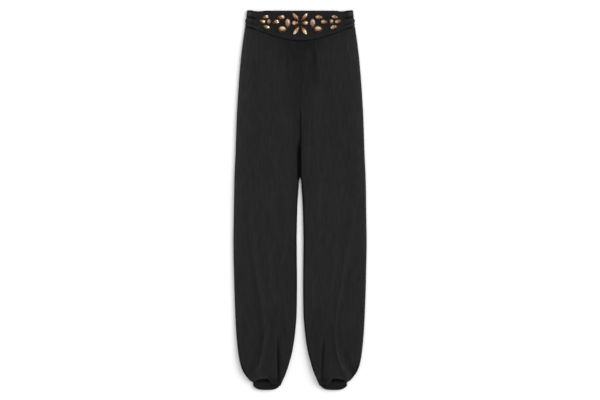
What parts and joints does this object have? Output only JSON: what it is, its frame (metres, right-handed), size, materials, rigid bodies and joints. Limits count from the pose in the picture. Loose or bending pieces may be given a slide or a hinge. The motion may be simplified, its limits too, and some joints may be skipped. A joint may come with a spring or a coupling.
{
  "type": "balloon trousers",
  "caption": "Balloon trousers in black crinkled jersey laid flat, with a stone-set curved front yoke, elastic back waistband, loose legs and gathered elastic ankle cuffs.",
  "frame": {"origin": "under the middle of the garment's length and width, on the surface that it lies on", "axes": "+Y towards the waist, +Z out of the garment's front, +X towards the wearer's left"},
  "size_m": [0.373, 1.062, 0.0128],
  "materials": {
    "jersey": "black crinkled jersey, dull",
    "yoke_cloth": "black doubled cloth, dull",
    "elastic_band": "black jersey stitched over elastic",
    "cuff_band": "black jersey doubled over elastic",
    "amber_stone": "faceted, foil-backed amber",
    "rose_stone": "faceted, foil-backed rose"
  },
  "bodies": {
    "root": {"waistband_front": "yoke_cloth", "waistband_back": "elastic_band", "leg_front_left": "jersey", "leg_front_right": "jersey", "leg_back_left": "jersey", "leg_back_right": "jersey", "cuff_left": "cuff_band", "cuff_right": "cuff_band", "stone_flower_top_left": "amber_stone", "stone_flower_middle_left": "amber_stone", "stone_flower_bottom_left": "amber_stone", "stone_inner_near_left": "rose_stone", "stone_inner_top_left": "amber_stone", "stone_inner_far_left": "amber_stone", "stone_inner_bottom_left": "amber_stone", "stone_outer_top_left": "amber_stone", "stone_outer_far_left": "amber_stone", "stone_outer_near_left": "rose_stone", "stone_outer_bottom_left": "amber_stone", "stone_flower_top_right": "amber_stone", "stone_flower_middle_right": "amber_stone", "stone_flower_bottom_right": "amber_stone", "stone_inner_near_right": "rose_stone", "stone_inner_top_right": "amber_stone", "stone_inner_far_right": "amber_stone", "stone_inner_bottom_right": "amber_stone", "stone_outer_top_right": "amber_stone", "stone_outer_far_right": "amber_stone", "stone_outer_near_right": "rose_stone", "stone_outer_bottom_right": "amber_stone"}
  },
  "joints": []
}
